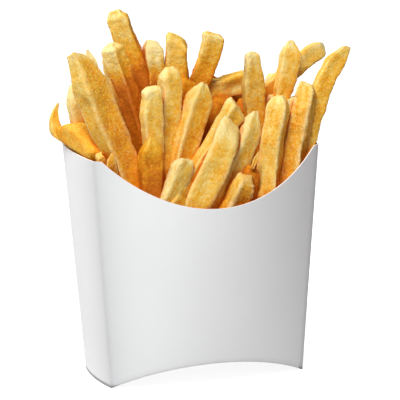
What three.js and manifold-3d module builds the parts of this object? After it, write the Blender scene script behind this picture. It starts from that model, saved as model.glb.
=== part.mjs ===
// French fries in a paper carton.
// Units are millimetres, +Z is up, -Y is the front of the carton, and the origin is at the middle
// of the whole object's footprint, on the surface that it stands on.
import * as THREE from 'three';
import { mergeVertices } from 'three/addons/utils/BufferGeometryUtils.js';
import Module from 'manifold-3d';

const wasm = await Module();
wasm.setup();

// ---- driving dimensions ------------------------------------------------------------------------

const CARTON = {
  baseWidth: 93, // between the two side panels' creases, at the base
  topWidth: 108, // the same, at the shoulders
  baseDepth: 42, // width of a side panel at the base
  topDepth: 51, // width of a side panel at the shoulders
  shoulder: 107, // height of the side panels
  bowBase: 10, // how far the front and back panels bulge, at the base
  bowTop: 22, // the same, at the shoulders
  sideBow: 2, // how far the side panels bulge
  board: 0.5, // thickness of the paperboard
  arch: 10, // rise of the vaulted floor
  ledge: 3, // flat stretch at each end of the scooped front edge
  scoop: 22.5, // how far the front edge dips between the ledges
  backRise: 17, // how far the back panel's rounded edge rises above the shoulders
};

const FRONT = [0, -1, 0];
const UP = [0, 0, 1];

const FRY = {
  width: 9.5,
  thick: 9,
  faces: FRONT, // which way its front side looks
  roll: 0,
  cut: [0, 0],
  point: 0.85,
  taper: 2,
  chamfer: 1.5,
};
const BENDS = [0.3, 0.55, 0.8]; // where a bent fry's centre line gets a ring, as shares of its length

const HEAP = {
  clearance: 0.4, // between the fries and the carton
  frontLevel: 80, // height of the packed part of the heap behind the scooped panel, at the middle
  backLevel: 98, // the same, in front of the raised panel
  levelRise: 8, // how much higher both are at the side panels
  fillers: 22, // short fries that only just show between the long ones
};

const GOLDEN = (Math.sqrt(5) - 1) / 2; // spreads repeated pieces evenly
const EPS = 1e-6;

// ---- fries that stand out of the heap ----------------------------------------------------------
// tip and foot are the two ends of a fry's centre line, which leans over towards elbow in between.
// width lies across the fry as the front sees it, thick lies front to back, and roll turns both
// about the fry's own line, in degrees. cut slants the tip: how far its right side and its front
// side stand above the middle. point narrows the tip over its last taper millimetres.

const FRONT_FRIES = [
  { tip: [-56, 21, 126], foot: [-50, 18, 104], elbow: [-61, 23, 113], width: 5, thick: 6, point: 0.3,
    taper: 8 },
  { tip: [-51, 14, 136], foot: [-44, 9, 70], width: 8.5, thick: 8.5 },
  { tip: [-54, 23, 112], foot: [-47, -22, 108], elbow: [-54, 0, 114], width: 11, thick: 11, roll: 30,
    faces: UP, point: 0.5, taper: 5 },
  { tip: [-50, -22, 111], foot: [-46, -18, 88], width: 4.5, thick: 5 },
  { tip: [-48, -26, 109], foot: [-43, -22, 84], width: 6, thick: 4, cut: [2, 0], point: 0.5 },
  { tip: [-55, -14, 150], foot: [-24, -28, 60], width: 10.5, thick: 9, roll: 25, cut: [-6, 0] },
  { tip: [-46, 5, 153], foot: [-28, 0, 80], width: 8, thick: 8, point: 0.3, taper: 7 },
  { tip: [-37, 2, 156], foot: [-15, -9, 62], width: 9, thick: 9, roll: 42 },
  { tip: [-30, 15, 169], foot: [-2, 4, 80], width: 10, thick: 9.5, roll: -15 },
  { tip: [-14, 11, 154], foot: [-12, 4, 74], width: 9, thick: 9, point: 0.7 },
  { tip: [-5, 9, 153], foot: [-4, 3, 84], width: 10, thick: 9, cut: [-3, 0] },
  { tip: [-12, -12, 146], foot: [-24, -27, 70], width: 10.5, thick: 10, roll: 8, point: 0.7 },
  { tip: [-25, -20, 139], foot: [-28, -28, 70], width: 9, thick: 9, cut: [1, 0] },
  { tip: [-28, -30, 117], foot: [-32, -31, 70], width: 10, thick: 8, point: 0.3, taper: 8 },
  { tip: [2, -15, 137], foot: [-26, -32, 78], width: 11.5, thick: 9, roll: 25, point: 0.4, taper: 6 },
  { tip: [-12, -34, 107], foot: [-26, -36, 76], width: 9.5, thick: 7, roll: 8, point: 0.6, taper: 4 },
  { tip: [17, -20, 127], foot: [-22, -36, 82], width: 9, thick: 9, cut: [-1, 0] },
  { tip: [11, -30, 116], foot: [-14, -36, 76], elbow: [5, -33, 104], width: 11.5, thick: 9, roll: -15,
    cut: [-3, -4] },
  { tip: [16, 12, 155], foot: [-20, 5, 88], elbow: [16, 13, 130], width: 9.5, thick: 9, cut: [-1, 0] },
  { tip: [40, 22, 128], foot: [10, 22, 126], width: 9, thick: 9 },
  { tip: [40, 30, 122], foot: [12, 28, 134], width: 8, thick: 8 },
  { tip: [30, 0, 148], foot: [31, -7, 70], width: 9, thick: 9, point: 0.6, taper: 6 },
  { tip: [25, -20, 121], foot: [8, -33, 74], width: 9.5, thick: 9, cut: [2, -3], point: 0.6 },
  { tip: [22, -32, 108], foot: [12, -35, 88], width: 3, thick: 3, point: 0.3, taper: 8 },
  { tip: [14, -36, 92], foot: [-2, -32, 66], width: 9.5, thick: 9, roll: 20, cut: [2, -3] },
  { tip: [37, -20, 130], foot: [22, -33, 70], width: 10.5, thick: 8.5, roll: 20, point: 0.6, taper: 5 },
  { tip: [51, 2, 152], foot: [26, -10, 84], elbow: [52, 1, 134], width: 9.5, thick: 9, point: 0.4, taper: 8 },
  { tip: [71, 14, 144], foot: [20, 6, 106], elbow: [50, 12, 138], width: 8.5, thick: 8.5 },
  { tip: [54, -12, 136], foot: [36, -24, 70], width: 9, thick: 8.5, roll: 25, cut: [-2, 0] },
  { tip: [72, -10, 148], foot: [43, -20, 74], elbow: [55, -16, 128], width: 8.5, thick: 8, roll: 22,
    point: 0.5, taper: 8 },
];

const MIDDLE_FRIES = [
  { tip: [2, -4, 129], foot: [-2, -8, 70] },
  { tip: [12, 2, 128], foot: [8, -4, 70] },
  { tip: [22, 6, 122], foot: [18, 0, 70] },
  { tip: [-33, -8, 124], foot: [-26, -14, 70] },
  { tip: [42, 0, 118], foot: [34, -8, 70] },
  { tip: [-20, -2, 126], foot: [-14, -8, 70] },
];

const BACK_FRIES = [
  { tip: [-29, 26, 147], foot: [-20, 18, 70], width: 9.5, thick: 9 },
  { tip: [-14, 32, 138], foot: [-22, 22, 70], width: 10, thick: 9.5 },
  { tip: [2, 30, 138], foot: [6, 20, 70], width: 9.5, thick: 9 },
  { tip: [16, 36, 126], foot: [10, 30, 70], width: 10, thick: 9.5 },
  { tip: [34, 27, 124], foot: [22, 22, 70], width: 9.5, thick: 9 },
  { tip: [50, 20, 134], foot: [32, 14, 70], width: 10, thick: 9 },
  { tip: [-44, 20, 130], foot: [-34, 12, 70], width: 9.5, thick: 9 },
  { tip: [58, 10, 124], foot: [44, 4, 72], width: 9.5, thick: 9 },
  { tip: [-4, 39, 126], foot: [-8, 32, 70], width: 9.5, thick: 9 },
  { tip: [-24, 36, 124], foot: [-28, 26, 70], width: 9.5, thick: 9.5 },
  { tip: [25, 37, 120], foot: [30, 26, 70], width: 9, thick: 9 },
];

// ---- meshes and solids ---------------------------------------------------------------------------

// A closed mesh through a stack of rings, each with the same number of points, with flat ends.
function loft(rings) {
  const count = rings[0].length;
  const positions = [];
  const faces = [];
  for (const ring of rings) {
    for (const point of ring) positions.push(point.x, point.y, point.z);
  }
  for (let row = 0; row + 1 < rings.length; row += 1) {
    for (let i = 0; i < count; i += 1) {
      const j = (i + 1) % count;
      const a = row * count + i;
      const b = row * count + j;
      faces.push(a, b, b + count, a, b + count, a + count);
    }
  }
  [rings[0], rings.at(-1)].forEach((ring, end) => {
    const centre = ring.reduce((sum, point) => sum.add(point), new THREE.Vector3()).divideScalar(count);
    const hub = positions.length / 3;
    const first = end ? (rings.length - 1) * count : 0;
    positions.push(centre.x, centre.y, centre.z);
    for (let i = 0; i < count; i += 1) {
      const j = (i + 1) % count;
      if (end) faces.push(hub, first + i, first + j);
      else faces.push(hub, first + j, first + i);
    }
  });
  const geometry = new THREE.BufferGeometry();
  geometry.setAttribute('position', new THREE.Float32BufferAttribute(positions, 3));
  geometry.setIndex(faces);
  return geometry;
}

function solidOf(source) {
  const bare = source.clone();
  bare.deleteAttribute('normal');
  bare.deleteAttribute('uv');
  const merged = mergeVertices(bare, 1e-4);
  return new wasm.Manifold(new wasm.Mesh({
    numProp: 3,
    vertProperties: Float32Array.from(merged.attributes.position.array),
    triVerts: Uint32Array.from(merged.index.array),
  }));
}

function geometryOf(solid) {
  const mesh = solid.getMesh();
  const geometry = new THREE.BufferGeometry();
  geometry.setAttribute('position', new THREE.BufferAttribute(mesh.vertProperties, 3));
  geometry.setIndex(new THREE.BufferAttribute(mesh.triVerts, 1));
  geometry.computeVertexNormals();
  return geometry;
}

// A solid that fills everything between a floor and the curve z = height(x), between two depths.
function slabUnder(height, yFrom, yTo, floor, steps = 32) {
  const reach = CARTON.topWidth;
  const shape = new THREE.Shape();
  shape.moveTo(-reach, floor);
  shape.lineTo(-reach, height(-reach / 2));
  for (let i = 0; i <= steps; i += 1) {
    const x = THREE.MathUtils.lerp(-reach / 2, reach / 2, i / steps);
    shape.lineTo(x, height(x));
  }
  shape.lineTo(reach, height(reach / 2));
  shape.lineTo(reach, floor);
  shape.closePath();
  const geometry = new THREE.ExtrudeGeometry(shape, { depth: yTo - yFrom, bevelEnabled: false });
  geometry.rotateX(Math.PI / 2);
  geometry.translate(0, yTo, 0);
  return solidOf(geometry);
}

// ---- carton ----------------------------------------------------------------------------------------

const atHeight = (base, top, z) => base + ((top - base) * z) / CARTON.shoulder;

// The carton's plan at height z: two bulging panels and two nearly flat sides, inset by a distance.
function planAt(z, inset, panelSteps = 20, sideSteps = 4) {
  const halfWidth = atHeight(CARTON.baseWidth, CARTON.topWidth, z) / 2;
  const halfDepth = atHeight(CARTON.baseDepth, CARTON.topDepth, z) / 2;
  const bow = atHeight(CARTON.bowBase, CARTON.bowTop, z);
  const outline = [];
  for (const side of [-1, 1]) {
    for (let i = 0; i < panelSteps; i += 1) {
      const u = (2 * i) / panelSteps - 1;
      outline.push([-side * u * halfWidth, side * (halfDepth + bow * (1 - u * u))]);
    }
    for (let i = 0; i < sideSteps; i += 1) {
      const v = (2 * i) / sideSteps - 1;
      outline.push([-side * (halfWidth + CARTON.sideBow * (1 - v * v)), -side * v * halfDepth]);
    }
  }
  return insetOutline(outline, inset).map(([x, y]) => new THREE.Vector3(x, y, z));
}

// Moves each edge of a closed counter-clockwise outline inwards by the same distance.
function insetOutline(outline, inset) {
  const count = outline.length;
  return outline.map((point, i) => {
    const before = outline[(i + count - 1) % count];
    const after = outline[(i + 1) % count];
    const normals = [[before, point], [point, after]].map(([from, to]) => {
      const length = Math.hypot(to[0] - from[0], to[1] - from[1]);
      return [-(to[1] - from[1]) / length, (to[0] - from[0]) / length];
    });
    const sum = [normals[0][0] + normals[1][0], normals[0][1] + normals[1][1]];
    const scale = (2 * inset) / (sum[0] ** 2 + sum[1] ** 2);
    return [point[0] + sum[0] * scale, point[1] + sum[1] * scale];
  });
}

function cartonBlock(inset, fromZ, toZ) {
  return solidOf(loft([planAt(fromZ, inset), planAt(CARTON.shoulder, inset), planAt(toZ, inset)]));
}

// Height of a circular arc of a given rise and half span, above its two ends.
function arcHeight(x, halfSpan, rise) {
  if (Math.abs(x) >= halfSpan) return 0;
  const radius = (halfSpan ** 2 + rise ** 2) / (2 * rise);
  return Math.sqrt(radius ** 2 - x ** 2) - (radius - rise);
}

const scoopSpan = CARTON.topWidth / 2 - CARTON.ledge;
const floorHeight = (x) => arcHeight(x, CARTON.baseWidth / 2, CARTON.arch);
const frontEdge = (x) => CARTON.shoulder - arcHeight(x, scoopSpan, CARTON.scoop);
const backEdge = (x) => CARTON.shoulder + arcHeight(x, scoopSpan, CARTON.backRise);
const TALL = CARTON.shoulder + CARTON.backRise + 5;
const DEEP = CARTON.topWidth;

// Folded from one blank: the floor is a vault between the arched bottom edges of front and back.
function makeCarton() {
  const outside = cartonBlock(0, 0, TALL);
  const inside = cartonBlock(CARTON.board, 0, TALL + 1)
    .subtract(slabUnder((x) => floorHeight(x) + CARTON.board, -DEEP, DEEP, -1));
  const underFloor = slabUnder((x) => floorHeight(x) - EPS, -DEEP, DEEP, -1);
  const kept = slabUnder(frontEdge, -DEEP, 0, -1, 48).add(slabUnder(backEdge, 0, DEEP, -1, 48));
  return outside.subtract(underFloor).subtract(inside).intersect(kept);
}

// ---- fries -----------------------------------------------------------------------------------------

// Cross-section of a fry, as [right, front] points: a rectangle with its corners taken off.
function section(width, thick, chamfer) {
  const [w, t] = [width / 2, thick / 2];
  if (!chamfer) return [[w, t], [w, -t], [-w, -t], [-w, t]];
  const [x, y] = [w - chamfer, t - chamfer];
  return [[x, t], [w, y], [w, -y], [x, -t], [-x, -t], [-w, -y], [-w, y], [-x, t]];
}

function makeFry(fry) {
  const { width, thick, faces, roll, cut, point, taper, chamfer } = { ...FRY, ...fry };
  const foot = new THREE.Vector3(...fry.foot);
  const tip = new THREE.Vector3(...fry.tip);
  const elbow = fry.elbow ? new THREE.Vector3(...fry.elbow) : foot.clone().lerp(tip, 0.5);
  const line = new THREE.QuadraticBezierCurve3(foot, elbow, tip);
  const neck = 1 - (taper + Math.abs(cut[0]) + Math.abs(cut[1])) / line.getLength();
  const bends = fry.elbow ? BENDS.filter((t) => t < neck - 0.05) : [];
  const rings = [0, ...bends, neck, 1].map((t) => {
    const along = line.getTangent(t);
    const turn = new THREE.Quaternion().setFromAxisAngle(along, THREE.MathUtils.degToRad(roll));
    const right = along.clone().cross(new THREE.Vector3(...faces)).normalize();
    const facing = right.clone().cross(along).applyQuaternion(turn);
    right.applyQuaternion(turn);
    const atTip = t === 1;
    return section(width, thick, chamfer).map(([across, deep]) => line.getPoint(t)
      .addScaledVector(right, across * (atTip ? point : 1))
      .addScaledVector(facing, deep * (atTip ? point : 1))
      .addScaledVector(along, atTip ? (2 * across * cut[0]) / width + (2 * deep * cut[1]) / thick : 0));
  });
  return solidOf(loft(rings));
}

// Short fries packed between the long ones. They stand in a spiral that covers the opening.
function fillerFry(i) {
  const turn = 2 * Math.PI * GOLDEN * i;
  const out = Math.sqrt((i + 0.5) / HEAP.fillers);
  const wobble = ((i * GOLDEN) % 1) - 0.5;
  const x = 46 * out * Math.cos(turn);
  const y = 30 * out * Math.sin(turn);
  const height = 104 + 8 * (1 - out) + (y > 0 ? 8 : -4) * out + 8 * wobble;
  return {
    tip: [x * 1.02, y, height],
    foot: [x * 0.8 - 10 * wobble, y * 0.8, HEAP.frontLevel - 14],
    width: 9,
    thick: 8.5,
    roll: 90 * wobble,
    chamfer: 0,
  };
}

// The packed part of the heap fills the carton up to a little below its rim.
function packedHeap() {
  const upTo = (level) => (x) => level + (HEAP.levelRise * Math.abs(2 * x)) / CARTON.topWidth;
  const gap = CARTON.board + HEAP.clearance;
  const front = slabUnder(upTo(HEAP.frontLevel), -DEEP, 0, -1, 4);
  const back = slabUnder(upTo(HEAP.backLevel), 0, DEEP, -1, 4);
  return cartonBlock(gap, 0, TALL)
    .subtract(slabUnder((x) => floorHeight(x) + gap, -DEEP, DEEP, -1))
    .intersect(front.add(back));
}

function makeFries() {
  const rows = [...FRONT_FRIES, ...MIDDLE_FRIES, ...BACK_FRIES];
  for (let i = 0; i < HEAP.fillers; i += 1) rows.push(fillerFry(i));
  const gap = CARTON.board + HEAP.clearance;
  const clearOfCarton = cartonBlock(gap, 0, TALL).add(rimSpace());
  const heap = rows
    .map(makeFry)
    .reduce((sum, fry) => sum.add(fry.intersect(clearOfCarton)), packedHeap());
  // The outer shell alone: air pockets shut in between fries are filled, and loose slivers go.
  return heap.decompose().reduce((most, shell) => (shell.volume() > most.volume() ? shell : most));
}

// Everything above the carton's cut edges, where a fry may lean out over them.
function rimSpace() {
  const sky = slabUnder(() => 2 * TALL, -DEEP, DEEP, 0, 1);
  const under = slabUnder((x) => frontEdge(x) + HEAP.clearance, -DEEP, 0, -1, 48)
    .add(slabUnder((x) => backEdge(x) + HEAP.clearance, 0, DEEP, -1, 48));
  return sky.subtract(under);
}

// ---- the part ----------------------------------------------------------------------------------------

function node(name, solid, colour, roughness) {
  const material = new THREE.MeshStandardMaterial({ color: colour, roughness, metalness: 0 });
  const mesh = new THREE.Mesh(geometryOf(solid), material);
  mesh.name = name;
  return mesh;
}

const group = new THREE.Group();
group.add(node('carton', makeCarton(), 0xe9e8ea, 0.75));
group.add(node('fries', makeFries(), 0xe3ab45, 0.6));

// The footprint of carton and fries together is centred on the origin.
const footprint = new THREE.Box3().setFromObject(group).getCenter(new THREE.Vector3());
group.position.set(-footprint.x, -footprint.y, 0);

export default group;
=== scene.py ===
import bisect
import math
import time

import bmesh
import bpy
from mathutils import Matrix, Quaternion, Vector, noise
from mathutils.bvhtree import BVHTree


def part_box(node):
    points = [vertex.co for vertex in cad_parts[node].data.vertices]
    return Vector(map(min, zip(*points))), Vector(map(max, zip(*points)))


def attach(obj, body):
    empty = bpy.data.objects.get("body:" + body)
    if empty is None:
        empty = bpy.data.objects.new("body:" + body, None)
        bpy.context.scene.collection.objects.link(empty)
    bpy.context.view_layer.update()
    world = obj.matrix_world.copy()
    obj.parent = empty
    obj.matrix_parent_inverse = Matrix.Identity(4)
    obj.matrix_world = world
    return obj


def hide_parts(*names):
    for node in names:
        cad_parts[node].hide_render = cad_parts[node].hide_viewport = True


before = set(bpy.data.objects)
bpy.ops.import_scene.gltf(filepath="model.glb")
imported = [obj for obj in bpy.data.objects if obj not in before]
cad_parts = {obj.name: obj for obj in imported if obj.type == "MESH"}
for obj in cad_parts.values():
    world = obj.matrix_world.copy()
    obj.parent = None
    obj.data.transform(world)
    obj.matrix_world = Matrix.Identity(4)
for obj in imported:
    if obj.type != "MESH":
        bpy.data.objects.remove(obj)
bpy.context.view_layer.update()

mm = 0.001
started = time.time()
cartonLow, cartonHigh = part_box("carton")
backBulge = 50.12  # how far the back panel's rim stands behind the carton's middle
cartonMiddle = Vector(((cartonLow.x + cartonHigh.x) / 2, cartonHigh.y - backBulge * mm, 0))


def place(x, y, z):
    return cartonMiddle + Vector((x, y, z)) * mm


def clamp(value, low, high):
    return low if value < low else high if value > high else value


def smooth(value):
    value = clamp(value, 0, 1)
    return value * value * (3 - 2 * value)


def mix(a, b, share):
    return a + (b - a) * share


def direction(azimuth, elevation):
    az, el = math.radians(azimuth), math.radians(elevation)
    return Vector((-math.sin(az) * math.cos(el), -math.cos(az) * math.cos(el), math.sin(el)))


def say(stage):
    print(f"{time.time() - started:6.1f} s  {stage}")


frontView = {
    "lookAt": 55.86,  # height of the point it turns about
    "azimuth": 17.911,  # to the left of straight ahead, in degrees
    "elevation": 12.363,
    "distance": 1531.5,
    "lens": 296.76,
    "sensor": 36,
    "clip": (0.05, 60),  # nearest and farthest point that it sees, in metres
    "right": 0.1443,  # how far it is turned off the point, in degrees
    "up": 0.8993,
    "roll": 1.027,
}


def addCamera():
    away = direction(frontView["azimuth"], frontView["elevation"])
    data = bpy.data.cameras.new("camera")
    data.sensor_width = frontView["sensor"]
    data.lens = frontView["lens"]
    data.clip_start, data.clip_end = frontView["clip"]
    camera = bpy.data.objects.new("camera", data)
    bpy.context.scene.collection.objects.link(camera)
    camera.location = place(0, 0, frontView["lookAt"]) + away * frontView["distance"] * mm
    turn = (-away).to_track_quat("-Z", "Y")
    turn = turn @ Quaternion((0, 0, 1), -math.radians(frontView["roll"]))
    turn = turn @ Quaternion((1, 0, 0), math.radians(frontView["up"]))
    turn = turn @ Quaternion((0, 1, 0), -math.radians(frontView["right"]))
    camera.rotation_euler = turn.to_euler()
    bpy.context.scene.camera = camera


def newMaterial(name):
    material = bpy.data.materials.new(name)
    material.use_nodes = True
    tree = material.node_tree
    tree.nodes.clear()
    shader = tree.nodes.new("ShaderNodeBsdfPrincipled")
    output = tree.nodes.new("ShaderNodeOutputMaterial")
    tree.links.new(shader.outputs["BSDF"], output.inputs["Surface"])
    return material, tree, shader


def add(tree, kind, inputs=None, **settings):
    node = tree.nodes.new(kind)
    for name, value in settings.items():
        setattr(node, name, value)
    for name, value in (inputs or {}).items():
        socket = node.inputs[name]
        if isinstance(value, bpy.types.NodeSocket):
            tree.links.new(value, socket)
        else:
            socket.default_value = value
    return node


def math2(tree, operation, a, b=0.0):
    return add(tree, "ShaderNodeMath", {0: a, 1: b}, operation=operation).outputs[0]


def attributeOf(tree, name, output="Fac"):
    return add(tree, "ShaderNodeAttribute", attribute_name=name).outputs[output]


def noiseOf(tree, vector, scale, detail=2.0, roughness=0.5):
    node = add(tree, "ShaderNodeTexNoise", {"Vector": vector, "Scale": scale, "Detail": detail,
                                            "Roughness": roughness})
    return node.outputs["Fac"]


def between(tree, value, low, high, toLow=0.0, toHigh=1.0):
    node = add(tree, "ShaderNodeMapRange", {"Value": value, "From Min": low, "From Max": high,
                                            "To Min": toLow, "To Max": toHigh}, clamp=True)
    return node.outputs["Result"]


def blend(tree, share, a, b):
    node = tree.nodes.new("ShaderNodeMix")
    node.data_type = "RGBA"
    for socket, value in ((node.inputs["Factor"], share), (node.inputs[6], a), (node.inputs[7], b)):
        if isinstance(value, bpy.types.NodeSocket):
            tree.links.new(value, socket)
        elif isinstance(value, float):
            socket.default_value = value
        else:
            socket.default_value = (*value, 1)
    return node.outputs[2]


def bumpOf(tree, height, strength, distance, below=None):
    inputs = {"Height": height, "Strength": strength, "Distance": distance}
    if below is not None:
        inputs["Normal"] = below
    return add(tree, "ShaderNodeBump", inputs).outputs["Normal"]


def finishPiece(name, bm, materials, node):
    mesh = bpy.data.meshes.new(name)
    bm.to_mesh(mesh)
    bm.free()
    mesh.transform(Matrix.Translation(cartonMiddle) @ Matrix.Scale(mm, 4))
    for material in materials:
        mesh.materials.append(material)
    mesh.shade_smooth()
    piece = bpy.data.objects.new(name, mesh)
    bpy.context.scene.collection.objects.link(piece)
    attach(piece, "root")
    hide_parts(node)
    return piece


carton = {
    "baseWidth": 93,  # between the creases
    "topWidth": 108,
    "baseDepth": 42,
    "topDepth": 51,
    "shoulder": 107,
    "bowBase": 10,  # bulge of the front and back panels
    "bowTop": 22,
    "sideBow": 2,
    "board": 0.5,
    "arch": 10,  # rise of the vaulted floor
    "ledge": 3,  # level part of the rim beside the scoop
    "scoop": 22.5,
    "backRise": 17,
    "crease": 0.6,  # width of the rounding at a crease
    "rows": 30,
    "columns": 36,  # across the front panel and the back one
    "sideColumns": 10,
    "tab": (0.42, 0.6, 0.78, 0.93),  # columns of the glued tab, from the side panel's middle to its back
    "tabLower": 2.5,  # how far its top lies below the rim
    "tabGap": 0.12,  # between the tab and the panel over it
    "lastPanel": (-1, -0.8, -0.6, -0.4, -0.2, 0, 0.2, 0.4, 0.6, 0.8, 0.955),
    "flaps": {"back": 0.62, "front": 0.97},  # how far each reaches over the floor
    "flapRows": 10,
    "flapEase": 0.985,  # keeps the flaps clear of the side panels
    "flapRound": 0.12,  # how far the back flap's corners are cut back
    "flapRaise": 0.02,  # how far the back flap lies above the vault
    "flapGap": 0.15,  # between it and the front flap, which lies over it
    "flapStep": 0.2,  # the share of the floor over which the front flap rises on to it
    "crisp": 50,  # edges sharper than this many degrees stay crisp
}

foldShade = {
    "frontLeft": 0.8,  # how strong the painted shade beside a fold is
    "frontRight": 0.3,
    "back": 0.4,
    "side": 0.8,
    "frontFade": 9,  # over which length it fades
    "backFade": 5,
    "sideFade": 22,
    "floorFade": 14,
    "halfWidth": 54,  # half the width of the front and back panels
    "halfSide": 24,  # and of the side panels
    "floorDepth": 60,
}


def grow(base, top, z):
    return base + (top - base) * z / carton["shoulder"]


def arc(x, halfSpan, rise):
    if abs(x) >= halfSpan:
        return 0
    radius = (halfSpan ** 2 + rise ** 2) / (2 * rise)
    return math.sqrt(radius ** 2 - x ** 2) - (radius - rise)


def planPoint(panel, u, z, inset=0):
    # u runs from -1 to 1 across a panel, from left to right as seen from outside
    halfWidth = grow(carton["baseWidth"], carton["topWidth"], z) / 2
    halfDepth = grow(carton["baseDepth"], carton["topDepth"], z) / 2
    if panel in ("front", "back"):
        side = -1 if panel == "front" else 1
        bow = grow(carton["bowBase"], carton["bowTop"], z)
        x, y = -side * u * halfWidth, side * (halfDepth + bow * (1 - u * u))
        return Vector((x, y - side * inset, z))
    side = 1 if panel == "right" else -1
    x, y = side * (halfWidth + carton["sideBow"] * (1 - u * u)), side * u * halfDepth
    return Vector((x - side * inset, y, z))


def floorAt(x):
    return arc(x, carton["baseWidth"] / 2, carton["arch"])


def wallEnds(panel, u):
    shoulder = carton["shoulder"]
    if panel not in ("front", "back"):
        return 0, shoulder
    span = carton["topWidth"] / 2 - carton["ledge"]
    x = u * carton["topWidth"] / 2
    if panel == "front":
        top = shoulder - arc(x, span, carton["scoop"])
    else:
        top = shoulder + arc(x, span, carton["backRise"])
    return floorAt(u * carton["baseWidth"] / 2), top


# the painted shade beside each fold, fading with the distance from it
def shadeAt(panel, u):
    if panel == "front":
        strength = foldShade["frontLeft"] if u < 0 else foldShade["frontRight"]
        return strength * math.exp((abs(u) - 1) * foldShade["halfWidth"] / foldShade["frontFade"])
    if panel == "back":
        return foldShade["back"] * math.exp((abs(u) - 1) * foldShade["halfWidth"] / foldShade["backFade"])
    fromFront = (1 + u if panel == "right" else 1 - u) * foldShade["halfSide"]
    return foldShade["side"] * math.exp(-fromFront / foldShade["sideFade"])


def runsAlong(edge, line):
    return edge.verts[0] in line and edge.verts[1] in line


def addFlap(bm, crease, bottom, panel, depth):
    # drawn out row by row from the panel's bottom edge, along the vault
    line = dict(bottom)
    other = "back" if panel == "front" else "front"
    lift = carton["board"] + carton["flapGap"] if panel == "front" else 0
    raised = carton["flapRaise"] if panel == "back" else 0
    edges = hinge = [e for e in bm.edges if runsAlong(e, line)]
    rows, ease = carton["flapRows"], carton["flapEase"]
    for i in range(1, rows + 1):
        share = depth * i / rows
        made = bmesh.ops.extrude_edge_only(bm, edges=edges)["geom"]
        fresh = [g for g in made if isinstance(g, bmesh.types.BMVert)]
        edges = [g for g in made if isinstance(g, bmesh.types.BMEdge) and runsAlong(g, fresh)]
        ends = {}
        for v in fresh:
            source = next(e.other_vert(v) for e in v.link_edges if e.other_vert(v) in line)
            u = line[source]
            z = floorAt(u * carton["baseWidth"] / 2)
            start, end = planPoint(panel, u * ease, z), planPoint(other, -u * ease, z)
            trim = 1 if i < rows or panel == "front" else 1 - carton["flapRound"] * u * u
            v.co = start.lerp(end, share * trim)
            v.co.z = z + lift * smooth(share / carton["flapStep"]) + raised
            # painted shade beside the floor's folds
            v[crease] = smooth(1 - share * foldShade["floorDepth"] / foldShade["floorFade"])
            ends[v] = u
        line = ends
    return hinge


def thicken(piece):
    # gives the board its thickness and keeps its cut edges crisp
    board = piece.modifiers.new("board", "SOLIDIFY")
    board.thickness = carton["board"] * mm
    board.offset = -1
    board.material_offset_rim = 1
    board.use_even_offset = True
    depsgraph = bpy.context.evaluated_depsgraph_get()
    mesh = bpy.data.meshes.new_from_object(piece.evaluated_get(depsgraph))
    piece.modifiers.clear()
    piece.data = mesh
    for v in mesh.vertices:
        v.co.z = max(v.co.z, 0)  # it stands on its lowest edges
    mesh.set_sharp_from_angle(angle=math.radians(carton["crisp"]))


def addCarton(materials):
    # one blank, walked round from the glued tab to the free edge that lies over it
    wide, narrow = carton["columns"], carton["sideColumns"]
    stations = [("right", u, True) for u in carton["tab"]]
    for panel, count in (("back", wide), ("left", narrow), ("front", wide)):
        stations += [(panel, 2 * i / count - 1, False) for i in range(count)]
    stations += [("right", u, False) for u in carton["lastPanel"]]
    bm = bmesh.new()
    crease = bm.verts.layers.float.new("crease")
    bmesh.ops.create_grid(bm, x_segments=len(stations) - 1, y_segments=carton["rows"], size=0.5)
    corners, bottoms = {}, {"front": {}, "back": {}}
    for v in bm.verts:
        column = round((v.co.x + 0.5) * (len(stations) - 1))
        share = v.co.y + 0.5
        panel, u, isTab = stations[column]
        low, high = wallEnds(panel, u)
        if isTab:
            high -= carton["tabLower"]
        v.co = planPoint(panel, u, mix(low, high, share), (carton["board"] + carton["tabGap"]) if isTab else 0)
        # painted shade beside the folds
        v[crease] = shadeAt(panel, u)
        if u == -1:
            corners.setdefault(panel, set()).add(v)
        if share < 1e-4 and panel in bottoms:
            bottoms[panel][v] = u
    scored = [e for e in bm.edges if any(runsAlong(e, line) for line in corners.values())]
    for panel, depth in carton["flaps"].items():
        scored += addFlap(bm, crease, bottoms[panel], panel, depth)
    bmesh.ops.bevel(bm, geom=[e for e in scored if e.is_valid], offset=carton["crease"],
                    offset_type="OFFSET", segments=3, profile=0.5, affect="EDGES", material=-1,
                    clamp_overlap=True)
    piece = finishPiece("foldedCarton", bm, materials, "carton")
    thicken(piece)
    return piece


def paperFibre():
    # the grain that the board shows on its faces and, coarser, where it is cut
    group = bpy.data.node_groups.new("paperFibre", "ShaderNodeTree")
    for name, kind in (("Where", "Vector"), ("Scale", "Float"), ("Stretch", "Float"), ("Amount", "Float"),
                       ("Base", "Color"), ("Fleck", "Color")):
        group.interface.new_socket(name, in_out="INPUT", socket_type=f"NodeSocket{kind}")
    for name, kind in (("Color", "Color"), ("Height", "Float")):
        group.interface.new_socket(name, in_out="OUTPUT", socket_type=f"NodeSocket{kind}")
    given = group.nodes.new("NodeGroupInput").outputs
    result = group.nodes.new("NodeGroupOutput").inputs
    stretch = add(group, "ShaderNodeCombineXYZ", {0: 1.0, 1: 1.0, 2: given["Stretch"]}).outputs[0]
    where = add(group, "ShaderNodeMapping", {"Vector": given["Where"], "Scale": stretch}).outputs[0]
    fibre = noiseOf(group, where, given["Scale"], 4, 0.65)
    share = math2(group, "MULTIPLY", between(group, fibre, 0.42, 0.75), given["Amount"])
    group.links.new(blend(group, share, given["Base"], given["Fleck"]), result["Color"])
    group.links.new(fibre, result["Height"])
    return group


paper = {
    "shades": ((0.86, 0.86, 0.867), (0.89, 0.89, 0.893)),
    # the colour of the painted shade at the folds
    "fold": (0.25, 0.25, 0.26),
    # the colour of the painted contact shadow along the foot
    "contactShadow": (0.15, 0.15, 0.15),
    "fleck": (0.76, 0.755, 0.75, 1),
    "roughness": 0.55,
    "cut": (0.92, 0.85, 0.79, 1),
    "cutFleck": (0.81, 0.71, 0.63, 1),
    "cutRoughness": 0.85,
}


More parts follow.
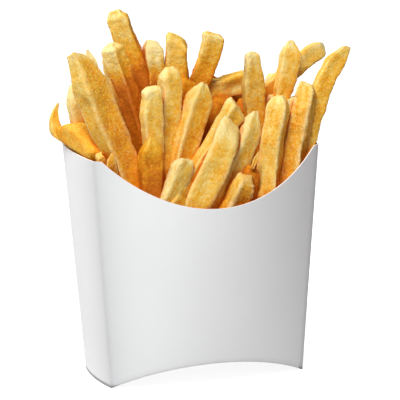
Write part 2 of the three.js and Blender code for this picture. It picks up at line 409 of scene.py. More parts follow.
def paperboard(fibres):
    material, tree, shader = newMaterial("whitePaperboard")
    where = add(tree, "ShaderNodeTexCoord").outputs["Object"]
    cloud = noiseOf(tree, where, 22, 3)
    # painted shade beside the folds
    paintedFoldShade = attributeOf(tree, "crease")
    tone = blend(tree, between(tree, cloud, 0.3, 0.7), *paper["shades"])
    scored = math2(tree, "POWER", math2(tree, "MULTIPLY", paintedFoldShade, 1.25), 14.0)  # painted shadow in the fine line of the score
    tone = blend(tree, math2(tree, "MULTIPLY", paintedFoldShade, 0.46), tone, paper["fold"])
    tone = blend(tree, math2(tree, "MULTIPLY", scored, 0.16), tone, paper["fold"])
    height = add(tree, "ShaderNodeSeparateXYZ", {0: where}).outputs[2]
    paintedContactShadow = between(tree, height, 0.0007, 0.002, 0.85, 0)  # painted contact shadow along the foot, where it stands
    tone = blend(tree, paintedContactShadow, tone, paper["contactShadow"])
    fibre = add(tree, "ShaderNodeGroup", {"Where": where, "Scale": 900.0, "Stretch": 0.35, "Amount": 0.1,
                                          "Base": tone, "Fleck": paper["fleck"]}, node_tree=fibres).outputs
    tree.links.new(fibre["Color"], shader.inputs["Base Color"])
    shader.inputs["Roughness"].default_value = paper["roughness"]
    normal = bumpOf(tree, fibre["Height"], 0.12, 0.0002)
    normal = bumpOf(tree, noiseOf(tree, where, 60, 2), 0.25, 0.0004, normal)
    tree.links.new(normal, shader.inputs["Normal"])
    return material


def cutEdge(fibres):
    material, tree, shader = newMaterial("cutBoardEdge")
    where = add(tree, "ShaderNodeTexCoord").outputs["Object"]
    fibre = add(tree, "ShaderNodeGroup", {"Where": where, "Scale": 1500.0, "Stretch": 1.0, "Amount": 1.0,
                                          "Base": paper["cut"], "Fleck": paper["cutFleck"]},
                node_tree=fibres).outputs
    tree.links.new(fibre["Color"], shader.inputs["Base Color"])
    tree.links.new(bumpOf(tree, fibre["Height"], 0.3, 0.0002), shader.inputs["Normal"])
    shader.inputs["Roughness"].default_value = paper["cutRoughness"]
    return material


fryShape = {
    "width": 9.5,
    "thick": 9,
    "faces": (0, -1, 0),  # which way its front side looks
    "roll": 0,
    "twist": 9,  # how many degrees it may twist along its length, either way
    "cut": (0, 0),  # how far the tip's right side and its front side stand above its middle
    "cutVaries": 1.1,  # how much that differs from fry to fry
    "point": 0.85,  # how narrow the tip is
    "taper": 4,  # length over which it narrows
    "edge": 2.8,  # radius of the long edges
    "end": 3.4,  # the same, round the tip
    "dish": 0.7,  # how far the faces sink between the edges
    "wave": 1.3,  # how far it strays from its line
    "swell": 0.09,  # how much thicker and thinner it gets along its length
    "lumps": 0.55,
    "grain": 0.16,
    "blisters": 0.35,
    "tone": 0.45,  # 0 is the palest crust, 1 the most browned
    "uneven": 0.45,  # how much darker the side turned away from the lamps is painted, as painted shade
    "paleTip": 9,  # length of the tip painted paler, as painted light where it stands up out of the heap
    "deepen": 0.3,  # how much darker it is painted away from its tip, as painted shade down in the heap
    "deepenFrom": 6,  # how far from the tip that begins
    "deepenOver": 50,  # and over which length
    "mealy": 1,  # how many pale crumbs it has
}

patternSize = {
    "edge": 9,
    "dish": 14,
    "lump": 6.5,
    "smallLump": 2.6,
    "grain": 1.3,
    "fineGrain": 0.7,
    "blistered": 11,  # the parts of a fry that have blisters
    "blister": 2.4,
    "swell": 16,
    "wave": 26,
}

leftFries = [
    {"tip": (-56, 21, 127), "foot": (-46, 8, 102), "elbows": [(-64, 22, 109)], "width": 6.5, "thick": 7.5,
     "point": 0.25, "taper": 14, "tone": 0.45, "deepen": 0.1, "mealy": 0},
    {"tip": (-56, 25, 108), "foot": (-50.5, -19, 105), "elbows": [(-51, 3, 119)], "width": 11, "thick": 13.5,
     "faces": (0, 0, 1), "point": 0.55, "taper": 10, "edge": 4, "tone": 0.5, "uneven": 0, "deepen": 0,
     "mealy": 0},
    {"tip": (-51, 14, 137), "foot": (-44, 9, 70), "width": 8.5, "thick": 8.5, "point": 0.5, "taper": 9,
     "tone": 0, "deepen": 1, "mealy": 1.2},
    {"tip": (-50, -24, 110), "foot": (-46, -18, 88), "width": 4.5, "thick": 5, "edge": 1.2, "end": 1.5,
     "lumps": 0.2, "blisters": 0, "tone": 0.7},
    {"tip": (-47.5, -27, 109.5), "foot": (-43, -22, 84), "width": 5.5, "thick": 4, "cut": (2.5, 0),
     "point": 0.6, "edge": 1.2, "end": 1.5, "lumps": 0.2, "blisters": 0, "tone": 0.8},
    {"tip": (-58.5, -14, 155), "foot": (-20.5, -28, 60), "width": 14.5, "thick": 10.5, "roll": 26,
     "cut": (-3, 1), "point": 0.6, "taper": 19, "edge": 2.5, "end": 5.5, "dish": 1.3, "tone": 0.45},
    {"tip": (-46.5, 5, 154), "foot": (-28, 0, 80), "width": 6.5, "thick": 7, "point": 0.3, "taper": 8,
     "tone": -0.2, "mealy": 1.5},
    {"tip": (-36, 2, 157), "foot": (-12, -12, 66), "width": 9.5, "thick": 9, "roll": 34, "end": 4.5,
     "point": 0.7, "edge": 2.6, "dish": 1.3, "tone": 0.2, "uneven": 0.5, "deepen": 3, "deepenOver": 30,
     "mealy": 0.8},
    {"tip": (-30.5, 15, 169), "foot": (-4, 4, 80), "width": 11.5, "thick": 9.5, "roll": -22, "end": 5.5,
     "point": 0.75, "tone": 0.3, "deepen": 2, "deepenOver": 40, "mealy": 0.4},
]

middleFries = [
    {"tip": (-14, 11, 155), "foot": (-12, 4, 74), "width": 9.2, "thick": 9, "point": 0.95, "taper": 6,
     "end": 6, "tone": -0.2, "deepen": 1.6, "deepenOver": 16, "mealy": 0.6},
    {"tip": (-3, 9, 156.5), "foot": (-4, 3, 84), "width": 11, "thick": 9, "roll": -24, "cut": (-3, -2),
     "end": 4, "tone": 0.5, "deepen": 1.2, "mealy": 0.4},
    {"tip": (-12, -12, 146), "foot": (-23, -27, 70), "width": 10, "thick": 9.5, "roll": 8, "point": 0.75,
     "taper": 7, "end": 5, "edge": 3.2, "tone": 0.3},
    {"tip": (-24, -20, 139), "foot": (-27, -28, 70), "width": 9.5, "thick": 9, "cut": (1.5, 0), "end": 3,
     "tone": 0.3},
    {"tip": (-27.5, -31, 118), "foot": (-32.5, -33, 70), "width": 10.5, "thick": 8, "point": 0.4, "taper": 9,
     "tone": 0.8, "uneven": 0.2, "deepen": 1.5, "deepenOver": 36, "mealy": 0.2},
    {"tip": (3, -15, 138), "foot": (-24.5, -32, 78), "width": 11.5, "thick": 9, "roll": 18, "point": 0.35,
     "taper": 9, "edge": 2.3, "tone": 0.4, "uneven": 0.4, "mealy": 1.2},
    {"tip": (-13, -34, 108), "foot": (-27.5, -36, 76), "width": 10.5, "thick": 7, "roll": 14, "point": 0.7,
     "taper": 6, "edge": 3.2, "tone": 0.15, "mealy": 1.3},
    {"tip": (17, -20, 127), "foot": (-22, -36, 82), "width": 9, "thick": 9, "roll": 8, "cut": (0, -2),
     "edge": 2.3, "end": 2.4, "tone": 0.5},
    {"tip": (10.8, -30, 120), "foot": (-13.5, -36, 76), "elbows": [(3.5, -33, 104)], "width": 13.6, "thick": 9,
     "roll": -12, "cut": (-3, -6), "point": 0.75, "taper": 9, "edge": 3, "end": 2.6, "tone": 0.3},
    {"tip": (16, 12, 156.5), "foot": (-24, 18, 92), "elbows": [(16, 12, 134)], "width": 10, "thick": 9,
     "cut": (-2, 1), "point": 1.05, "roll": -15, "tone": 0.5, "deepen": 2, "deepenOver": 38, "mealy": 0.2},
    {"tip": (37.5, 18, 131), "foot": (11.5, 15.4, 128.4), "width": 10.5, "thick": 10, "tone": 0.1, "uneven": 0,
     "deepen": 0, "mealy": 0},
    {"tip": (36, 30, 121), "foot": (12, 26, 134), "width": 8, "thick": 8, "tone": 0.9, "mealy": 0},
]

rightFries = [
    {"tip": (30.5, 0, 148), "foot": (33, -7, 70), "width": 10.3, "thick": 8.5, "roll": -4, "point": 0.68,
     "taper": 18, "end": 3, "tone": 0.25, "deepen": 1, "mealy": 0.7},
    {"tip": (25.5, -22, 124), "foot": (-3, -32, 74), "width": 11.5, "thick": 9, "roll": 16, "point": 0.3,
     "taper": 11, "tone": 0.05, "deepen": 0.6, "mealy": 1.3},
    {"tip": (22, -32, 108), "foot": (17.5, -33, 99), "width": 2.3, "thick": 2.3, "point": 0.3, "taper": 6,
     "tone": 0.7},
    {"tip": (16, -37, 97), "foot": (1.5, -33, 68), "width": 12.5, "thick": 9, "roll": 16, "cut": (1, -3),
     "lumps": 0.8, "grain": 0.3, "blisters": 0.6, "end": 4, "tone": 0.9, "mealy": 1.4},
    {"tip": (36.2, -21, 131), "foot": (23, -32, 70), "width": 9.5, "thick": 10.5, "roll": 56, "point": 0.65,
     "taper": 8, "end": 4.5, "edge": 2.8, "tone": 0.25, "uneven": 0.1, "deepen": 0.1, "mealy": 1.2},
    {"tip": (51, 2, 152), "foot": (26, -10, 84), "elbows": [(52, 1, 134)], "width": 9.5, "thick": 9,
     "roll": -10, "point": 0.45, "taper": 9, "end": 4.5, "tone": 0.35, "deepen": 0.9, "mealy": 0.8},
    {"tip": (72, 14, 145.5), "foot": (22, 4, 106), "elbows": [(50, 12, 138)], "width": 9.5, "thick": 8.5,
     "roll": -6, "tone": 0.2, "uneven": 0.3, "mealy": 0.6},
    {"tip": (51, -20, 135.5), "foot": (34, -30, 70), "width": 8, "thick": 9.8, "roll": 46, "cut": (0, -2),
     "point": 0.8, "taper": 7, "end": 4.5, "lumps": 0.7, "grain": 0.22, "blisters": 0.6, "tone": 0.5,
     "uneven": 0.1, "mealy": 1.4},
    {"tip": (74.5, -10, 149), "foot": (47, -23, 74), "elbows": [(49, -22, 104), (52, -18, 131)], "width": 9,
     "thick": 8.5, "roll": -8, "cut": (2, 0), "point": 0.5, "taper": 12, "tone": 0.35, "uneven": 0.15,
     "deepen": 0, "mealy": 0.7},
]

# fries among and behind the others; tones above 1 paint them darker as painted shade, and the few with low
# tones are painted paler as painted light in shadowed gaps
innerFries = [
    {"tip": (0, 4, 137), "foot": (-8, -6, 70), "width": 10.5, "tone": 1.3, "mealy": 0},
    {"tip": (19, 9, 127), "foot": (14, 0, 72), "width": 12, "tone": 1.7, "mealy": 0},
    {"tip": (28, 8, 122), "foot": (24, 0, 72), "width": 10, "tone": 1.7, "mealy": 0},
    {"tip": (2, -4, 129), "foot": (-2, -8, 70), "tone": 1.3, "mealy": 0},
    {"tip": (12, 2, 126), "foot": (8, -4, 70), "tone": 1.6, "mealy": 0},
    {"tip": (22, 6, 120), "foot": (18, 0, 70), "tone": 1.6, "mealy": 0},
    {"tip": (-31, -10, 104), "foot": (-26, -14, 70), "tone": 1.2, "mealy": 0},
    {"tip": (44, 2, 127), "foot": (36, -8, 70), "tone": 0.3, "deepen": 0, "mealy": 0.5},
    {"tip": (50, -16, 111), "foot": (45, -16, 70), "width": 8, "thick": 8, "tone": 0.8, "mealy": 0.3},
    {"tip": (39, -18, 122), "foot": (31, -27, 70), "width": 7, "thick": 7, "tone": 0.5, "mealy": 0.5},
    {"tip": (-20, -2, 126), "foot": (-14, -8, 70), "tone": 1.2, "mealy": 0},
    {"tip": (-29, 26, 147), "foot": (-20, 18, 70)},
    {"tip": (-14, 32, 138), "foot": (-22, 22, 70), "width": 10, "thick": 9.5},
    {"tip": (2, 30, 138), "foot": (6, 20, 70)},
    {"tip": (16, 36, 126), "foot": (10, 30, 70), "width": 10, "thick": 9.5},
    {"tip": (34, 27, 124), "foot": (22, 22, 70)},
    {"tip": (50, 20, 134), "foot": (32, 14, 70), "width": 10},
    {"tip": (49, -10, 127.5), "foot": (38, -16, 70), "width": 8.5, "thick": 8, "tone": 0.3, "deepen": 0,
     "mealy": 0.6},
    {"tip": (20, -30, 100.5), "foot": (15, -30, 70), "width": 8, "thick": 6, "tone": 1.6, "mealy": 0},
    {"tip": (32, 15, 123.5), "foot": (26, 6, 70), "tone": 1.6, "mealy": 0},
    {"tip": (-44, 20, 130), "foot": (-34, 12, 70)},
    {"tip": (58, 10, 124), "foot": (44, 4, 72)},
    {"tip": (-4, 39, 126), "foot": (-8, 32, 70)},
    {"tip": (-24, 36, 124), "foot": (-28, 26, 70), "thick": 9.5},
    {"tip": (25, 37, 120), "foot": (30, 26, 70), "width": 9},
]

shortFries = {
    "count": 58,
    "width": 9,
    "thick": 8.5,
    "foot": 64,
    "across": 46,  # how far they spread from the middle
    "deep": 30,
    "level": 97,
    "crown": 9,  # how much higher their tips stand in the middle,
    "back": 9,  # at the back
    "front": -5,  # and at the front
    "uneven": 9,
}

golden = (math.sqrt(5) - 1) / 2  # spreads repeated pieces evenly


def shortFry(i):
    turn = 2 * math.pi * golden * i
    out = math.sqrt((i + 0.5) / shortFries["count"])
    wobble = (i * golden) % 1 - 0.5
    x, y = shortFries["across"] * out * math.cos(turn), shortFries["deep"] * out * math.sin(turn)
    height = shortFries["level"] + shortFries["crown"] * (1 - out)
    height += shortFries["back" if y > 0 else "front"] * out
    height += shortFries["uneven"] * wobble
    return {"tip": (x * 1.02, y, height), "foot": (x * 0.8 - 10 * wobble, y * 0.8, shortFries["foot"]),
            "width": shortFries["width"] + 1.5 * wobble, "thick": shortFries["thick"], "roll": 90 * wobble,
            "tone": 0.6 + 0.4 * ((i * 0.37) % 1)}


class CentreLine:
    # a smooth curve from a fry's foot, drawn towards its elbows, to its tip
    def __init__(self, points, steps=48):
        controls = [Vector(p) for p in points]
        self.points = []
        for i in range(steps + 1):
            row = controls
            while len(row) > 1:
                row = [a.lerp(b, i / steps) for a, b in zip(row, row[1:])]
            self.points.append(row[0])
        self.reached = [0]
        for a, b in zip(self.points, self.points[1:]):
            self.reached.append(self.reached[-1] + (b - a).length)
        self.length = self.reached[-1]
        before = [self.points[0], *self.points[:-1]]
        after = [*self.points[1:], self.points[-1]]
        self.slopes = [(b - a).normalized() for a, b in zip(before, after)]

    def at(self, z):
        i = clamp(bisect.bisect_right(self.reached, z) - 1, 0, len(self.points) - 2)
        share = (z - self.reached[i]) / (self.reached[i + 1] - self.reached[i])
        along = self.slopes[i].lerp(self.slopes[i + 1], clamp(share, 0, 1)).normalized()
        return self.points[i].lerp(self.points[i + 1], share), along


leaning = {
    "gap": 1.3,  # between the fries and the outside of the board
    "slope": 1.5,  # how fast a fry may lean out above the board's cut edge
    "front": 0.4,  # how far above that edge it starts to
    "back": 1.6,
}


def keepInside(p):
    # below the carton's cut edges a fry is pressed in by its walls, above them it may lean out
    if p.z > carton["shoulder"] + carton["backRise"]:
        return p
    gap, slope = leaning["gap"], leaning["slope"]
    halfWidth = grow(carton["baseWidth"], carton["topWidth"], p.z) / 2
    halfDepth = grow(carton["baseDepth"], carton["topDepth"], p.z) / 2
    bow = grow(carton["bowBase"], carton["bowTop"], p.z)
    over = slope * max(0, p.z - carton["shoulder"] - leaning["front"])
    over += carton["sideBow"] * (1 - clamp(p.y / halfDepth, -1, 1) ** 2)
    x = clamp(p.x, -halfWidth - over + gap, halfWidth + over - gap)
    u = clamp(x / halfWidth, -1, 1)
    panel = "front" if p.y < 0 else "back"
    over = slope * max(0, p.z - wallEnds(panel, u)[1] - leaning[panel])
    limit = halfDepth + bow * (1 - u * u) - gap + over
    return Vector((x, clamp(p.y, -limit, limit), p.z))


# painted shade: the sides of a fry that look right, back and down, away from the lamps, are painted darker
paintedShadeSide = Vector((0.85, 0.35, -0.4)).normalized()
apart = (37.7, 11.3, 5.9)  # how far one fry's stretch of every pattern lies from the next one's
gather = 0.4 * math.pi  # draws the columns of a fry's faces towards its long edges
crowd = 0.115  # draws its rings towards its ends
bars = {}


def barMesh(rings, cuts):
    # a cube cut into rings along its length and into a grid across
    if (rings, cuts) not in bars:
        bm = bmesh.new()
        bmesh.ops.create_cube(bm, size=2)
        upright = [e for e in bm.edges if abs(e.verts[0].co.z - e.verts[1].co.z) > 1]
        bmesh.ops.subdivide_edges(bm, edges=upright, cuts=rings, use_grid_fill=True)
        level = [e for e in bm.edges if abs(e.verts[0].co.z - e.verts[1].co.z) < 1e-6]
        bmesh.ops.subdivide_edges(bm, edges=level, cuts=cuts, use_grid_fill=True)
        mesh = bpy.data.meshes.new("bar")
        bm.to_mesh(mesh)
        bm.free()
        bars[rings, cuts] = mesh
    return bars[rings, cuts]


def addFry(bm, row, number, step, cuts):
    fry, size = {**fryShape, **row}, patternSize
    line = CentreLine([fry["foot"], *fry.get("elbows", []), fry["tip"]])
    long, w, t = line.length, fry["width"] / 2, fry["thick"] / 2
    before = len(bm.verts)
    bm.from_mesh(barMesh(max(6, round(long / step)), cuts))
    bm.verts.ensure_lookup_table()
    own = bm.verts.layers.float_vector["own"]
    marks = bm.verts.layers.float_vector["marks"]
    faces, roll = Vector(fry["faces"]), math.radians(fry["roll"])
    away = Vector([number * c for c in apart])
    cut = [c + fry["cutVaries"] * math.sin(number * phase) for c, phase in zip(fry["cut"], (1.7, 2.9))]
    slant = abs(cut[0]) + abs(cut[1])
    spread = math.sin(gather)
    twist = math.radians(fry["twist"] * math.sin(number * 2.4))
    for v in bm.verts[before:]:
        a, b = math.sin(gather * v.co.x) / spread, math.sin(gather * v.co.y) / spread
        s = 0.5 + 0.5 * v.co.z
        s -= crowd * math.sin(2 * math.pi * s)
        z = s * long
        # a bar with rounded edges
        stretch = noise.noise(away + Vector((0, 0, z / size["edge"])))
        r = min(fry["edge"] * (1 + 0.4 * stretch), 0.9 * min(w, t))
        endRadius = max(r, min(fry["end"], long / 4))
        p = Vector((a * w, b * t, z))
        inner = Vector((clamp(p.x, r - w, w - r), clamp(p.y, r - t, t - r),
                        clamp(z, endRadius, long - endRadius)))
        out = p - inner
        out.z *= r / endRadius
        out.normalize()
        p = inner + Vector((out.x * r, out.y * r, out.z * endRadius))
        # its sunken faces, lumps, grain and blisters
        middle = min(1, (1 - a * a) + (1 - b * b))
        q = p + away
        p -= out * fry["dish"] * middle ** 1.5 * (0.9 + 0.9 * noise.noise(q / size["dish"]))
        p += out * fry["lumps"] * (noise.noise(q / size["lump"]) + 0.5 * noise.noise(q / size["smallLump"]))
        p += out * fry["grain"] * (noise.noise(q / size["grain"]) + 0.6 * noise.noise(q / size["fineGrain"]))
        spots = noise.noise(q / size["blistered"] + Vector((7, 7, 7)))
        if spots > 0.02 and fry["blisters"]:
            near = noise.voronoi(q / size["blister"])[0][0]
            p += out * fry["blisters"] * smooth(spots * 4) * smooth(1 - near / 0.42)
        # its taper, its cut end and the way it strays
        end = smooth((z - (long - fry["taper"])) / fry["taper"])
        narrow = 1 - (1 - fry["point"]) * end
        p.x *= narrow * (1 + fry["swell"] * noise.noise(away + Vector((z / size["swell"], 1, 0))) * 2)
        p.y *= narrow * (1 + fry["swell"] * noise.noise(away + Vector((1, z / size["swell"], 0))) * 2)
        reach = 2.2 * slant + 2
        p.z += smooth((p.z - long + reach) / reach) * (p.x / w * cut[0] - p.y / t * cut[1])
        p.x += fry["wave"] * noise.noise(away + Vector((z / size["wave"], 3, 0)))
        p.y += fry["wave"] * noise.noise(away + Vector((0, z / size["wave"], 9)))
        centre, along = line.at(p.z)
        turn = Quaternion(along, roll + twist * (s - 0.5))
        right = turn @ along.cross(faces).normalized()
        behind = along.cross(right)
        v.co = keepInside(centre + right * p.x + behind * p.y)
        # what its crust is coloured by: browning, crumbs along the edges that are partly painted highlight,
        # painted shade on the side turned from the lamps and away from the tip, and the tip painted paler as
        # painted light
        v[own] = (q.x * mm, q.y * mm, q.z * mm)
        mealy = fry["mealy"]
        rim = smooth((min(abs(a), abs(b)) - 0.75 + 0.25 * mealy) / 0.5) if 0.03 < s < 0.97 else 0.6
        facing = (right * out.x + behind * out.y).dot(paintedShadeSide)
        paintedDeepShade = fry["deepen"] * smooth((long - z - fry["deepenFrom"]) / fry["deepenOver"])
        tone = fry["tone"] + fry["uneven"] * facing + paintedDeepShade
        crumbs = rim * mealy if mealy > 1 else mix(-0.8, rim, mealy)
        v[marks] = (tone, crumbs, smooth(1 - (long - z) / fry["paleTip"]))


def addFries(name, rows, material, detail, first):
    bm = bmesh.new()
    bm.verts.layers.float_vector.new("own")
    bm.verts.layers.float_vector.new("marks")
    for i, row in enumerate(rows):
        addFry(bm, row, first + i, *detail)
    piece = finishPiece(name, bm, [material], "fries")
    say(f"{name}: {len(rows)} fries, {len(piece.data.polygons)} faces")
    return piece


core = {
    "gap": 2,  # to the outside of the walls
    "floorGap": 3,  # to the vault
    "frontLevel": 76,
    "backLevel": 92,
    "rise": 8,  # towards the sides
    "relief": 3,
    "reliefSize": 7,
    "cuts": 31,
    "marks": (0.8, 0.2, 0),
}


def addCore(material):
    # the packed middle of the heap, which the fries stand in
    bm = bmesh.new()
    own = bm.verts.layers.float_vector.new("own")
    marks = bm.verts.layers.float_vector.new("marks")
    bmesh.ops.create_cube(bm, size=2)
    bmesh.ops.subdivide_edges(bm, edges=bm.edges, cuts=core["cuts"], use_grid_fill=True)
    for v in bm.verts:
        a, b, c = v.co
        low = floorAt(a * carton["baseWidth"] / 2) + core["floorGap"]
        share = smooth((b + 0.25) / 0.5)
        high = mix(core["frontLevel"], core["backLevel"], share) + core["rise"] * abs(a)
        z = mix(low, high, (c + 1) / 2)
        halfWidth = grow(carton["baseWidth"], carton["topWidth"], z) / 2 - core["gap"]
        halfDepth = grow(carton["baseDepth"], carton["topDepth"], z) / 2 - core["gap"]
        bow = grow(carton["bowBase"], carton["bowTop"], z)
        x, y = a * halfWidth, b * (halfDepth + bow * (1 - a * a))
        if c > 0.99:
            z += core["relief"] * noise.noise(Vector((x, y, 0)) / core["reliefSize"])
        v.co = (x, y, z)
        v[own] = Vector((x, y, z)) * mm
        v[marks] = core["marks"]
    piece = finishPiece("packedFries", bm, [material], "fries")
    say(f"packed middle: {len(piece.data.polygons)} faces")
    return piece


openness = {
    "rays": 24,
    "reach": 30,
    "start": 0.5,  # how far off the crust the rays set out
    "grazing": 0.15,  # flatter rays than this don't count
}


def markOpenness(pieces, around):
    # how freely each point of the fries looks out of the heap: deep down the crust is painted a deeper orange
    # with fewer crumbs, as painted shade and the light the fries throw on each other
    corners, faces = [], []
    for piece in [*pieces, *around]:
        start = len(corners)
        corners += [v.co.copy() for v in piece.data.vertices]
        faces += [[start + i for i in polygon.vertices] for polygon in piece.data.polygons]
    tree = BVHTree.FromPolygons(corners, faces)
    count, reach = openness["rays"], openness["reach"]
    rays = []
    for i in range(count):
        z = 1 - (2 * i + 1) / count
        turn = 2 * math.pi * golden * i
        rays.append(Vector((math.sqrt(1 - z * z) * math.cos(turn), math.sqrt(1 - z * z) * math.sin(turn), z)))
    for piece in pieces:
        mesh = piece.data
        values = []
        for v in mesh.vertices:
            start = v.co + v.normal * openness["start"] * mm
            free = total = 0
            for ray in rays:
                facing = ray.dot(v.normal)
                if facing > openness["grazing"]:
                    total += facing
                    distance = tree.ray_cast(start, ray, reach * mm)[3]
                    free += facing if distance is None else facing * 0.5 * distance / (reach * mm)
            values.append(free / total)
        mesh.attributes.new("open", "FLOAT", "POINT").data.foreach_set("value", values)


crust = {
    "cream": (0.805, 0.655, 0.29),
    "pale": (0.775, 0.525, 0.125),
    "gold": (0.76, 0.39, 0.024),
    "amber": (0.70, 0.26, 0.005),
    "brown": (0.52, 0.13, 0.003),
    "crumb": (0.81, 0.605, 0.26),
    "inside": (0.80, 0.21, 0.003),  # down among the fries, where they glow in each other's light
    "specular": 0.18,
    "subsurface": 0.25,
    "subsurfaceRadius": (1.0, 0.6, 0.25),
    "subsurfaceScale": 0.0018,
}


def friedCrust():
    material, tree, shader = newMaterial("friedCrust")
    own = attributeOf(tree, "own", "Vector")
    marks = attributeOf(tree, "marks", "Vector")
    tone, rim, end = add(tree, "ShaderNodeSeparateXYZ", {0: marks}).outputs
    free = attributeOf(tree, "open")
    patches = noiseOf(tree, own, 130, 3, 0.55)
    mottle = noiseOf(tree, own, 520, 4, 0.65)
    speck = noiseOf(tree, own, 1250, 3, 0.75)
    drawnOut = add(tree, "ShaderNodeMapping", {"Vector": own, "Scale": (1, 1, 0.16)}).outputs[0]
    streaks = noiseOf(tree, drawnOut, 480, 3, 0.6)
    # how browned the crust is, from cream to brown, with the painted shade and the tip's painted light in it
    level = math2(tree, "SUBTRACT", math2(tree, "MULTIPLY", tone, 0.7), math2(tree, "MULTIPLY", end, 0.28))
    for pattern, lighter, darker in ((patches, -0.17, 0.2), (mottle, -0.11, 0.15), (streaks, -0.1, 0.14),
                                     (speck, 0.2, -0.2)):
        level = math2(tree, "ADD", level, between(tree, pattern, 0.3, 0.7, lighter, darker))
    ramp = add(tree, "ShaderNodeValToRGB", {"Fac": between(tree, level, -0.25, 1.1)})
    ramp.color_ramp.elements[0].color = (*crust["cream"], 1)
    ramp.color_ramp.elements[1].color = (*crust["brown"], 1)
    ramp.color_ramp.elements[1].position = 0.92
    for position, shade in ((0.18, "pale"), (0.41, "gold"), (0.64, "amber")):
        ramp.color_ramp.elements.new(position).color = (*crust[shade], 1)
    glow = math2(tree, "MULTIPLY", between(tree, free, 0.12, 0.62, 0.85, 0),
                 between(tree, tone, 0.9, 1.5, 1, 0.35))
    colour = blend(tree, glow, ramp.outputs["Color"], crust["inside"])
    # mealy crumbs gather along the raised edges and thin out over the faces; the pale band along the edges is
    # mealy crust and partly painted highlight, and deep in the heap the crumbs are painted fainter as painted
    # shade
    crumbsAndPaintedShade = math2(tree, "MULTIPLY", between(tree, free, 0.2, 0.65, 0.1, 1),
                between(tree, patches, 0.35, 0.62, 0.45, 1))
    crumbsAndPaintedShade = math2(tree, "MULTIPLY", crumbsAndPaintedShade, between(tree, tone, 0.8, 1.6, 1, 0.15))
    rimShare = math2(tree, "MULTIPLY", rim, between(tree, mottle, 0.4, 0.6, 0.1, 0.75))
    colour = blend(tree, math2(tree, "MULTIPLY", rimShare, crumbsAndPaintedShade), colour, crust["crumb"])
    crumbs = between(tree, math2(tree, "ADD", speck, math2(tree, "MULTIPLY", rim, 0.1)), 0.53, 0.66, 0, 0.7)
    colour = blend(tree, math2(tree, "MULTIPLY", crumbs, crumbsAndPaintedShade), colour, crust["crumb"])
    tree.links.new(colour, shader.inputs["Base Color"])
    tree.links.new(between(tree, mottle, 0.3, 0.7, 0.42, 0.66), shader.inputs["Roughness"])
    shader.inputs["Specular IOR Level"].default_value = crust["specular"]
    shader.inputs["Subsurface Weight"].default_value = crust["subsurface"]
    shader.inputs["Subsurface Radius"].default_value = crust["subsurfaceRadius"]
    shader.inputs["Subsurface Scale"].default_value = crust["subsurfaceScale"]
    cells = add(tree, "ShaderNodeTexVoronoi", {"Vector": own, "Scale": 620.0}, feature="SMOOTH_F1")
    normal = bumpOf(tree, cells.outputs["Distance"], 0.5, 0.0005)
    normal = bumpOf(tree, mottle, 0.5, 0.0006, normal)
    tree.links.new(bumpOf(tree, speck, 0.6, 0.0005, normal), shader.inputs["Normal"])
    return material


studio = {
    "world": 0.255,  # light from all round
    "worldTint": (1, 0.885, 0.875),
    "key": {"azimuth": 36, "elevation": 54, "distance": 1.4, "size": 0.5, "power": 22.0, "tint": (0.965, 1, 1)},
    "edge": {"azimuth": 132, "elevation": 38, "distance": 1.4, "size": 0.5, "power": 11.5, "tint": (1, 1, 1)},
    "lampsLookAt": 80,
    "floorSize": 20,
    "floorShade": 0.5,
    "floorGlow": 0.9,
}


def addLight(name, light):
    data = bpy.data.lights.new(name, "AREA")
    data.energy, data.size, data.color = light["power"], light["size"], light["tint"]
    lamp = bpy.data.objects.new(name, data)
    bpy.context.scene.collection.objects.link(lamp)
    away = direction(light["azimuth"], light["elevation"])
    lamp.location = place(0, 0, studio["lampsLookAt"]) + away * light["distance"]
    lamp.rotation_euler = (-away).to_track_quat("-Z", "Y").to_euler()


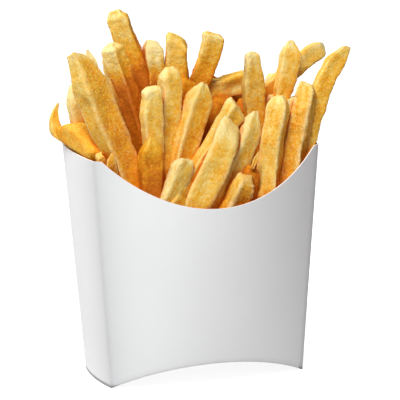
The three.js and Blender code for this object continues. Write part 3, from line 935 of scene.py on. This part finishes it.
def addWorld():
    world = bpy.data.worlds.new("studio")
    bpy.context.scene.world = world
    world.use_nodes = True
    tree = world.node_tree
    tree.nodes.clear()
    seen = add(tree, "ShaderNodeLightPath").outputs["Is Camera Ray"]
    strength = between(tree, seen, 0, 1, studio["world"], 1.0)
    tint = blend(tree, seen, studio["worldTint"], (1.0, 1.0, 1.0))
    back = add(tree, "ShaderNodeBackground", {"Color": tint, "Strength": strength})
    output = tree.nodes.new("ShaderNodeOutputWorld")
    tree.links.new(back.outputs[0], output.inputs["Surface"])


def addFloor():
    bm = bmesh.new()
    bmesh.ops.create_grid(bm, x_segments=1, y_segments=1, size=studio["floorSize"])
    mesh = bpy.data.meshes.new("floor")
    bm.to_mesh(mesh)
    bm.free()
    material, tree, shader = newMaterial("paleFloor")
    shader.inputs["Base Color"].default_value = (studio["floorShade"],) * 3 + (1,)
    shader.inputs["Roughness"].default_value = 1
    shader.inputs["Specular IOR Level"].default_value = 0
    glow = add(tree, "ShaderNodeEmission", {"Color": (1, 1, 1, 1)})
    seen = add(tree, "ShaderNodeLightPath").outputs["Is Camera Ray"]
    tree.links.new(math2(tree, "MULTIPLY", seen, studio["floorGlow"]), glow.inputs["Strength"])
    both = add(tree, "ShaderNodeAddShader", {0: shader.outputs[0], 1: glow.outputs[0]})
    output = next(n for n in tree.nodes if n.type == "OUTPUT_MATERIAL")
    tree.links.new(both.outputs[0], output.inputs["Surface"])
    mesh.materials.append(material)
    floor = bpy.data.objects.new("floor", mesh)
    bpy.context.scene.collection.objects.link(floor)


def addStudio():
    addWorld()
    addLight("key", studio["key"])
    addLight("edge", studio["edge"])
    addFloor()
    scene = bpy.context.scene
    scene.view_settings.view_transform = "Standard"
    scene.view_settings.look = "None"


# the length of a ring and the number of cuts across a face
fine, plain, rough = (0.8, 10), (1.3, 7), (1.8, 5)

addCamera()
addStudio()
say("studio")
fibres = paperFibre()
cartonPiece = addCarton([paperboard(fibres), cutEdge(fibres)])
say("carton")
crustMaterial = friedCrust()
heap = [
    addFries("friesLeft", leftFries, crustMaterial, fine, 1),
    addFries("friesMiddle", middleFries, crustMaterial, fine, 10),
    addFries("friesRight", rightFries, crustMaterial, fine, 22),
    addFries("friesBehind", innerFries, crustMaterial, plain, 40),
    addFries("shortFries", [shortFry(i) for i in range(shortFries["count"])], crustMaterial, rough, 60),
    addCore(crustMaterial),
]
markOpenness(heap, [cartonPiece])
say("openness")
